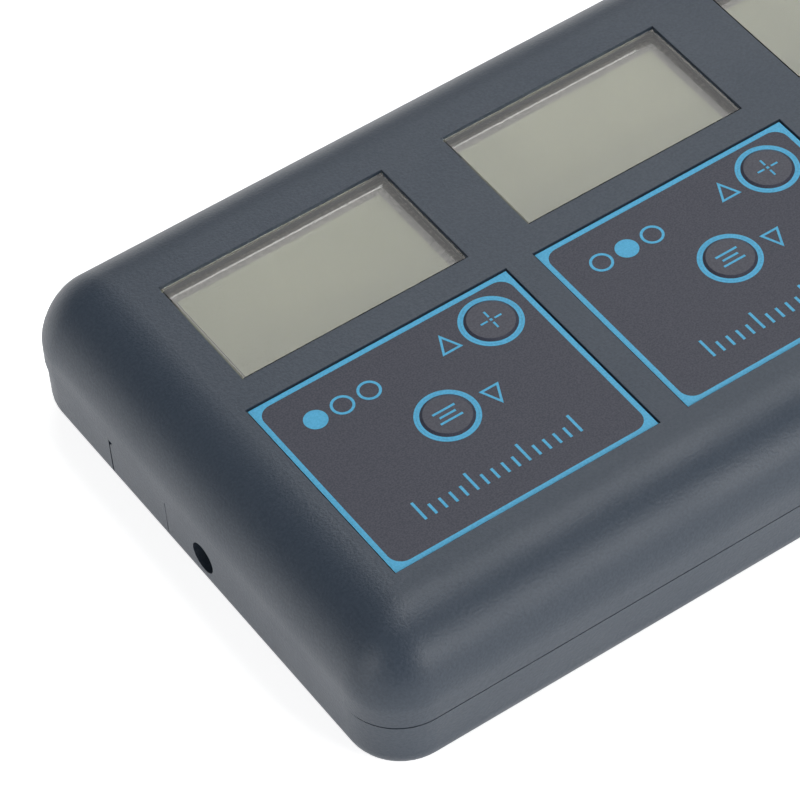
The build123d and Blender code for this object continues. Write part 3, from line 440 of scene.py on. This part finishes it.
# The display cells: switched-off liquid crystal between two glass plates, grey-green under the
# polariser and darker mauve-grey on the bare rim of the front glass, which lies a little lower.
RIM_BELOW_Z = 0.0237
display_face, shader = new_material("display_face", (0.17, 0.17, 0.12), 0.35)
nodes = display_face.node_tree.nodes
links = display_face.node_tree.links
face_noise = noise_on_object(display_face, 25, 2.0)
vary_color(display_face, shader, face_noise, (0.125, 0.128, 0.080), (0.150, 0.150, 0.098))
face_color = shader.inputs["Base Color"].links[0].from_socket
rim_noise = noise_on_object(display_face, 1400, 2.0)
rim_tones = nodes.new("ShaderNodeValToRGB")
rim_tones.color_ramp.elements[0].position = 0.45
rim_tones.color_ramp.elements[0].color = (0.085, 0.078, 0.070, 1)
rim_tones.color_ramp.elements[1].position = 0.75
rim_tones.color_ramp.elements[1].color = (0.20, 0.18, 0.165, 1)
links.new(rim_noise.outputs["Fac"], rim_tones.inputs["Fac"])
cell_place = nodes.new("ShaderNodeTexCoord")
cell_axes = nodes.new("ShaderNodeSeparateXYZ")
links.new(cell_place.outputs["Object"], cell_axes.inputs[0])
on_polariser = nodes.new("ShaderNodeMath")
on_polariser.operation = "GREATER_THAN"
on_polariser.inputs[1].default_value = RIM_BELOW_Z
links.new(cell_axes.outputs["Z"], on_polariser.inputs[0])
cell_tones = nodes.new("ShaderNodeMix")
cell_tones.data_type = "RGBA"
links.new(on_polariser.outputs[0], cell_tones.inputs[0])
links.new(rim_tones.outputs["Color"], cell_tones.inputs[6])
links.new(face_color, cell_tones.inputs[7])
links.new(cell_tones.outputs[2], shader.inputs["Base Color"])
dress(display_face, "lcd_cell_1", "lcd_cell_2", "lcd_cell_3")

# The bezels, stems, switches and jack bodies: black moulded plastic with a fine grain.
black_plastic, shader = new_material("black_plastic", (0.02, 0.02, 0.022), 0.5)
black_grain = noise_on_object(black_plastic, 2500, 2.0)
vary_color(black_plastic, shader, black_grain, (0.016, 0.016, 0.018), (0.028, 0.028, 0.03))
add_bump(black_plastic, shader, black_grain, 0.00002, 0.5)
for number in (1, 2, 3):
    dress(black_plastic, f"lcd_bezel_{number}")
    for kind in ("cal", "mode"):
        dress(black_plastic, f"{kind}_key_stem_{number}", f"{kind}_switch_{number}")
dress(black_plastic, "processor_chips", "dc_jack", "temperature_jack")

# The contact strips: soft banded rubber pressed between each display and its board.
strip_rubber, shader = new_material("strip_rubber", (0.5, 0.36, 0.33), 0.8)
strip_noise = noise_on_object(strip_rubber, 900, 2.0)
vary_color(strip_rubber, shader, strip_noise, (0.42, 0.30, 0.28), (0.58, 0.43, 0.40))
dress(strip_rubber, "lcd_connector_1", "lcd_connector_2", "lcd_connector_3")

# The hook-up leads: flat two-core leads in grey insulation, from the sockets to the boards.
lead_cover, shader = new_material("lead_insulation", (0.22, 0.2, 0.19), 0.45)
lead_noise = noise_on_object(lead_cover, 900, 2.0)
vary_color(lead_cover, shader, lead_noise, (0.19, 0.175, 0.165), (0.25, 0.23, 0.215))
dress(lead_cover, "hookup_leads")

# The circuit boards: green lacquered glass-fibre laminate.
laminate, shader = new_material("board_laminate", (0.02, 0.16, 0.06), 0.35)
weave = noise_on_object(laminate, 700, 3.0)
vary_color(laminate, shader, weave, (0.012, 0.12, 0.045), (0.03, 0.2, 0.08))
add_bump(laminate, shader, weave, 0.00002, 0.4)
dress(laminate, "circuit_board_1", "circuit_board_2", "circuit_board_3")

# The screws and battery contacts: bright zinc-plated steel with fine machining marks.
steel, shader = new_material("plated_steel", (0.55, 0.55, 0.56), 0.35, 1.0)
steel_noise = noise_on_object(steel, 1500, 3.0)
vary_color(steel, shader, steel_noise, (0.48, 0.48, 0.5), (0.62, 0.62, 0.63))
vary_roughness(steel, shader, steel_noise, 0.28, 0.42)
dress(steel, "board_screws", "case_screws", "battery_contact_plate", "battery_contact_spring")

# The probe sockets: turned brass under bright nickel, with white insulators and gold contacts.
nickel, shader = new_material("bright_nickel", (0.68, 0.66, 0.62), 0.2, 1.0)
nickel_noise = noise_on_object(nickel, 1200, 3.0)
vary_color(nickel, shader, nickel_noise, (0.62, 0.60, 0.56), (0.74, 0.72, 0.68))
vary_roughness(nickel, shader, nickel_noise, 0.15, 0.27)
dress(nickel, "probe_socket_1", "probe_socket_2", "probe_socket_washers", "probe_socket_nuts",
      "temperature_jack_nut")
insulator, shader = new_material("white_insulator", (0.82, 0.82, 0.79), 0.4)
insulator_noise = noise_on_object(insulator, 800, 2.0)
vary_color(insulator, shader, insulator_noise, (0.78, 0.78, 0.75), (0.85, 0.85, 0.82))
dress(insulator, "probe_socket_insulators")
gold, shader = new_material("gold_plating", (0.83, 0.62, 0.28), 0.22, 1.0)
gold_noise = noise_on_object(gold, 1500, 2.0)
vary_color(gold, shader, gold_noise, (0.76, 0.56, 0.24), (0.88, 0.67, 0.33))
dress(gold, "probe_socket_contacts", "dc_jack_pin")

# The battery cells: steel cans in a printed plastic sleeve.
sleeve, shader = new_material("cell_sleeve", (0.06, 0.10, 0.2), 0.3)
sleeve_noise = noise_on_object(sleeve, 300, 2.0)
vary_color(sleeve, shader, sleeve_noise, (0.05, 0.085, 0.17), (0.07, 0.12, 0.23))
dress(sleeve, "battery_cell_1", "battery_cell_2")
